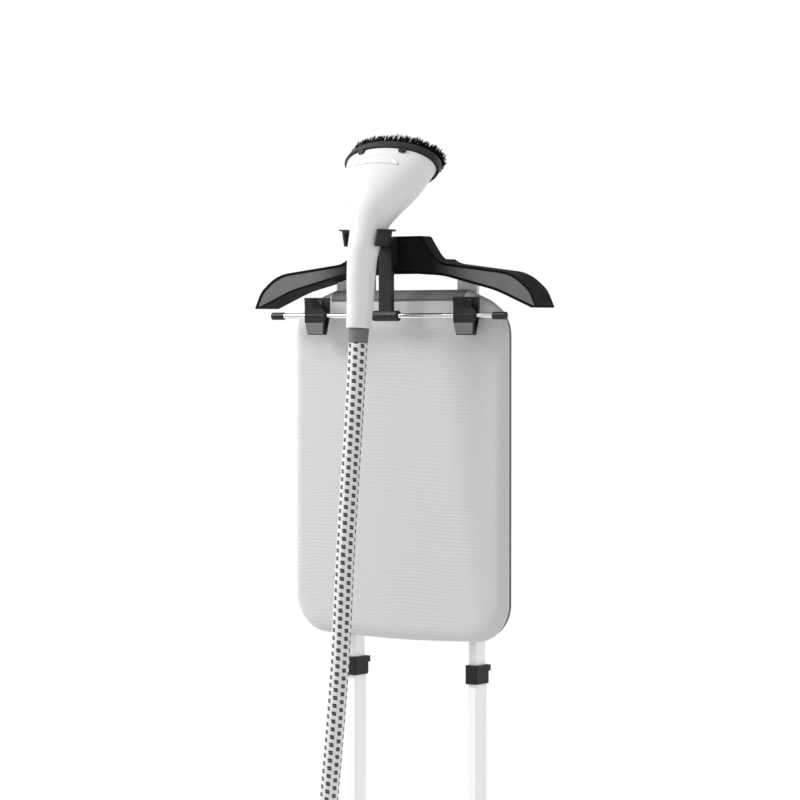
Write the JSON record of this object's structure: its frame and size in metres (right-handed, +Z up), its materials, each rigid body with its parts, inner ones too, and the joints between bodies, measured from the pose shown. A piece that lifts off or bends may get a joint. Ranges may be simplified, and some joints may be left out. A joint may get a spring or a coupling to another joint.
{
  "type": "garment steamer",
  "caption": "Stand garment steamer: wheeled base with water tank, telescopic poles, clothes hanger, clip bar, press board and a steam handset on a hose.",
  "frame": {"origin": "on the floor under the middle of the base", "axes": "+Z up, -Y is the front that the handset and board face, +X to the right seen from the front"},
  "size_m": [0.4122, 0.34, 1.6986],
  "materials": {
    "white_shell": "gloss moulded",
    "pole_white": "satin powder coat",
    "hanger_black": "fine moulded texture",
    "clip_black": "satin moulded",
    "bar_chrome": "polished",
    "pad_fabric": "ribbed woven cover",
    "board_core": "plain",
    "back_shell": "satin moulded",
    "hose_cover": "woven with dark checks",
    "cuff_grey": "matte",
    "brush_black": "satin",
    "bristle_nylon": "fibres",
    "plate_steel": "brushed",
    "trigger_grey": "satin",
    "inner_tube": "silicone",
    "base_white": "gloss moulded",
    "base_grey": "textured moulded",
    "tank_clear": "clear tinted",
    "cap_grey": "satin",
    "foot_rubber": "matte",
    "wheel_rubber": "matte",
    "steel": "bright",
    "boiler_metal": "cast",
    "pump_plastic": "plain",
    "circuit_green": "laminate",
    "pipe_brass": "drawn"
  },
  "bodies": {
    "base": {"base_tray": "base_grey", "upper_housing": "base_white", "rubber_feet": "foot_rubber", "base_screws": "steel", "wheel_axle": "steel", "pole_sockets": "base_grey", "cord_inlet": "base_grey", "hose_connector": "base_grey", "boiler": "boiler_metal", "steam_pipe": "pipe_brass", "pump": "pump_plastic", "circuit_board": "circuit_green", "valve_seat": "pump_plastic", "lower_tube_left": "pole_white", "lower_tube_right": "pole_white", "lower_collar_left": "clip_black", "lower_collar_right": "clip_black", "steam_hose": "hose_cover"},
    "left_wheel": {"wheel_left": "wheel_rubber"},
    "right_wheel": {"wheel_right": "wheel_rubber"},
    "tank": {"water_tank": "tank_clear", "tank_valve": "cap_grey"},
    "cap": {"tank_cap": "cap_grey"},
    "dial": {"steam_dial": "cap_grey"},
    "pedal": {"power_pedal": "cap_grey"},
    "middle_poles": {"middle_tube_left": "pole_white", "middle_tube_right": "pole_white", "middle_collar_left": "clip_black", "middle_collar_right": "clip_black"},
    "lower_left_lock": {"lower_lever_left": "clip_black"},
    "lower_right_lock": {"lower_lever_right": "clip_black"},
    "middle_left_lock": {"middle_lever_left": "clip_black"},
    "middle_right_lock": {"middle_lever_right": "clip_black"},
    "upper_frame": {"upper_tube_left": "pole_white", "upper_tube_right": "pole_white", "bracket_left": "pole_white", "bracket_right": "pole_white", "hanger": "hanger_black", "fork": "hanger_black", "bar_arm": "hanger_black", "trouser_bar": "bar_chrome", "bar_caps": "clip_black", "board_pad": "pad_fabric", "board_plate": "board_core", "board_back_shell": "back_shell"},
    "left_clip": {"clip_back_left": "clip_black", "clip_spring_left": "steel"},
    "left_jaw": {"clip_front_left": "clip_black"},
    "right_clip": {"clip_back_right": "clip_black", "clip_spring_right": "steel"},
    "right_jaw": {"clip_front_right": "clip_black"},
    "handset": {"handset_front_shell": "white_shell", "handset_back_shell": "white_shell", "steam_plate": "plate_steel", "handle_cuff": "cuff_grey", "handset_tube": "inner_tube"},
    "brush": {"brush_frame": "brush_black", "brush_bristles": "bristle_nylon"},
    "trigger": {"steam_trigger": "trigger_grey"}
  },
  "joints": [
    {"name": "lower_pole_slide", "type": "slide", "parent": "base", "child": "middle_poles", "axis": [0, 0, 1], "range_m": [-0.37, 0], "deforming": ["steam_hose"]},
    {"name": "upper_pole_slide", "type": "slide", "parent": "middle_poles", "child": "upper_frame", "axis": [0, 0, 1], "range_m": [-0.37, 0], "deforming": ["steam_hose"]},
    {"name": "handset_tip", "type": "hinge", "parent": "upper_frame", "child": "handset", "pos_m": [0, -0.017, 1.4541], "axis": [1, 0, 0], "range_deg": [0, 25], "deforming": ["steam_hose"]},
    {"name": "trigger_press", "type": "slide", "parent": "handset", "child": "trigger", "axis": [0, -1, 0], "range_m": [0, 0.0025], "stiffness_N_per_m": 1500},
    {"name": "brush_pull", "type": "slide", "parent": "handset", "child": "brush", "axis": [0, 0.766, 0.6428], "range_m": [0, 0.04]},
    {"name": "tank_lift", "type": "slide", "parent": "base", "child": "tank", "axis": [0, 0, 1], "range_m": [0, 0.07]},
    {"name": "cap_pull", "type": "slide", "parent": "tank", "child": "cap", "axis": [0, 0, 1], "range_m": [0, 0.03]},
    {"name": "dial_turn", "type": "hinge", "parent": "base", "child": "dial", "pos_m": [0.095, 0.024, 0.205], "axis": [0, 0, 1], "range_deg": [0, 240]},
    {"name": "pedal_press", "type": "slide", "parent": "base", "child": "pedal", "axis": [0, 0, -1], "range_m": [0, 0.004], "stiffness_N_per_m": 2500},
    {"name": "left_wheel_spin", "type": "hinge", "parent": "base", "child": "left_wheel", "pos_m": [-0.128, 0.14, 0.0225], "axis": [1, 0, 0], "continuous": true},
    {"name": "right_wheel_spin", "type": "hinge", "parent": "base", "child": "right_wheel", "pos_m": [0.128, 0.14, 0.0225], "axis": [1, 0, 0], "continuous": true},
    {"name": "lower_left_lever", "type": "hinge", "parent": "base", "child": "lower_left_lock", "pos_m": [-0.089, 0.11782, 0.6499], "axis": [1, 0, 0], "range_deg": [0, 100]},
    {"name": "middle_left_lever", "type": "hinge", "parent": "middle_poles", "child": "middle_left_lock", "pos_m": [-0.089, 0.11657, 1.0679], "axis": [1, 0, 0], "range_deg": [0, 100]},
    {"name": "lower_right_lever", "type": "hinge", "parent": "base", "child": "lower_right_lock", "pos_m": [0.089, 0.11782, 0.6499], "axis": [1, 0, 0], "range_deg": [0, 100]},
    {"name": "middle_right_lever", "type": "hinge", "parent": "middle_poles", "child": "middle_right_lock", "pos_m": [0.089, 0.11657, 1.0679], "axis": [1, 0, 0], "range_deg": [0, 100]},
    {"name": "left_clip_slide", "type": "slide", "parent": "upper_frame", "child": "left_clip", "axis": [1, 0, 0], "range_m": [-0.035, 0.068]},
    {"name": "left_clip_squeeze", "type": "hinge", "parent": "left_clip", "child": "left_jaw", "pos_m": [-0.103, 0.039, 1.486], "axis": [1, 0, 0], "range_deg": [-18, 0], "stiffness_Nm_per_rad": 0.6, "springref_deg": 17.19},
    {"name": "right_clip_slide", "type": "slide", "parent": "upper_frame", "child": "right_clip", "axis": [1, 0, 0], "range_m": [-0.08, 0.023]},
    {"name": "right_clip_squeeze", "type": "hinge", "parent": "right_clip", "child": "right_jaw", "pos_m": [0.115, 0.039, 1.486], "axis": [1, 0, 0], "range_deg": [-18, 0], "stiffness_Nm_per_rad": 0.6, "springref_deg": 17.19}
  ],
  "couplings": [
    {"joint": "upper_pole_slide", "follows": "lower_pole_slide", "ratio": 1}
  ]
}
